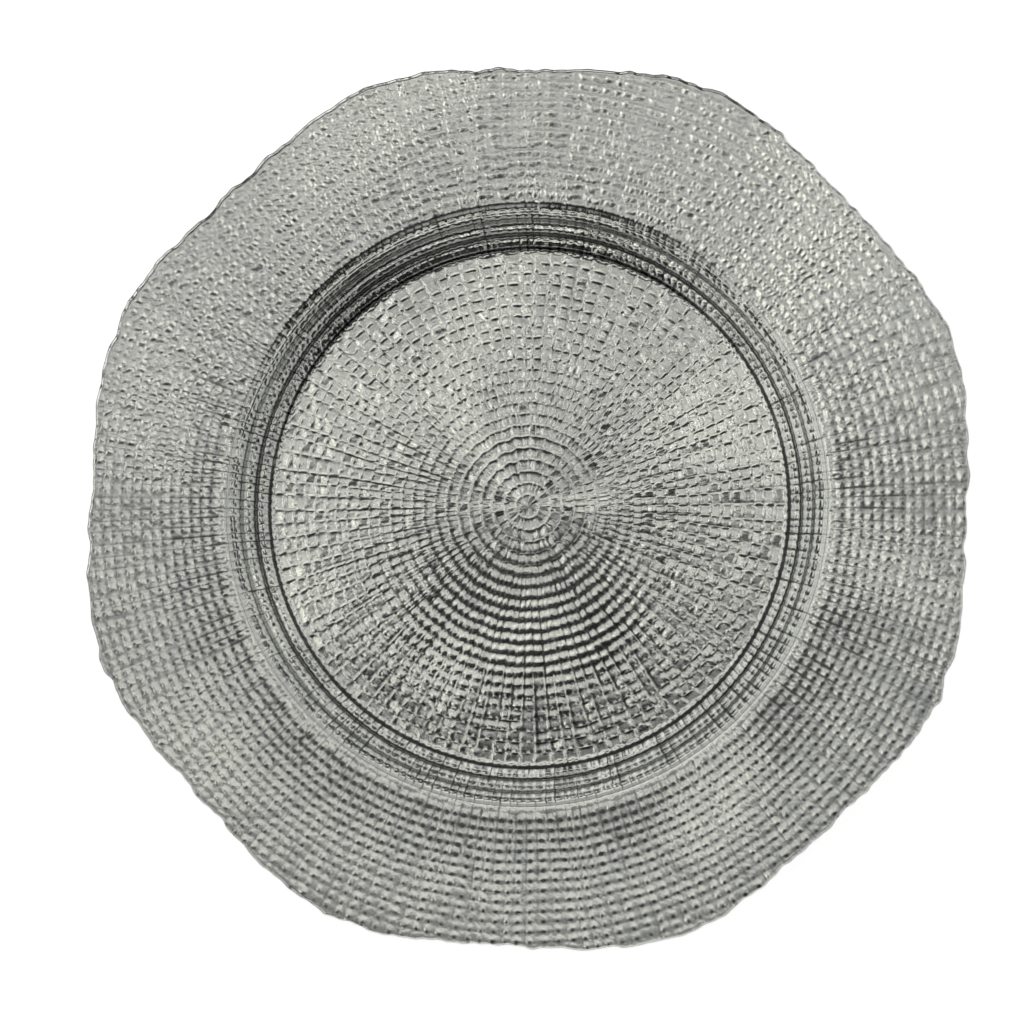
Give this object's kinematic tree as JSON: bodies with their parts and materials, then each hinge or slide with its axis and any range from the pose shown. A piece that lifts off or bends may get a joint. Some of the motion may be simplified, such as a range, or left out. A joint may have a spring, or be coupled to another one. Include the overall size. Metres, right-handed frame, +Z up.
{
  "type": "charger plate",
  "caption": "Round glass charger plate with a soft lobed edge, a shallow well and a wide rim, its face a woven relief of rings, silvered and lacquered underneath.",
  "frame": {"origin": "centre of the flat foot, on the surface that the plate stands on", "axes": "+Z up along the plate's axis, +X to the right of the picture and +Y to its top"},
  "size_m": [0.3302, 0.3302, 0.0217],
  "materials": {
    "glass": "clear, fire-polished, with a woven relief",
    "silver": "bright metallised coat seen through the glass",
    "lacquer": "grey protective lacquer, satin"
  },
  "bodies": {
    "root": {"glass_plate": "glass", "silver_coat": "silver", "backing_lacquer": "lacquer"}
  },
  "joints": []
}
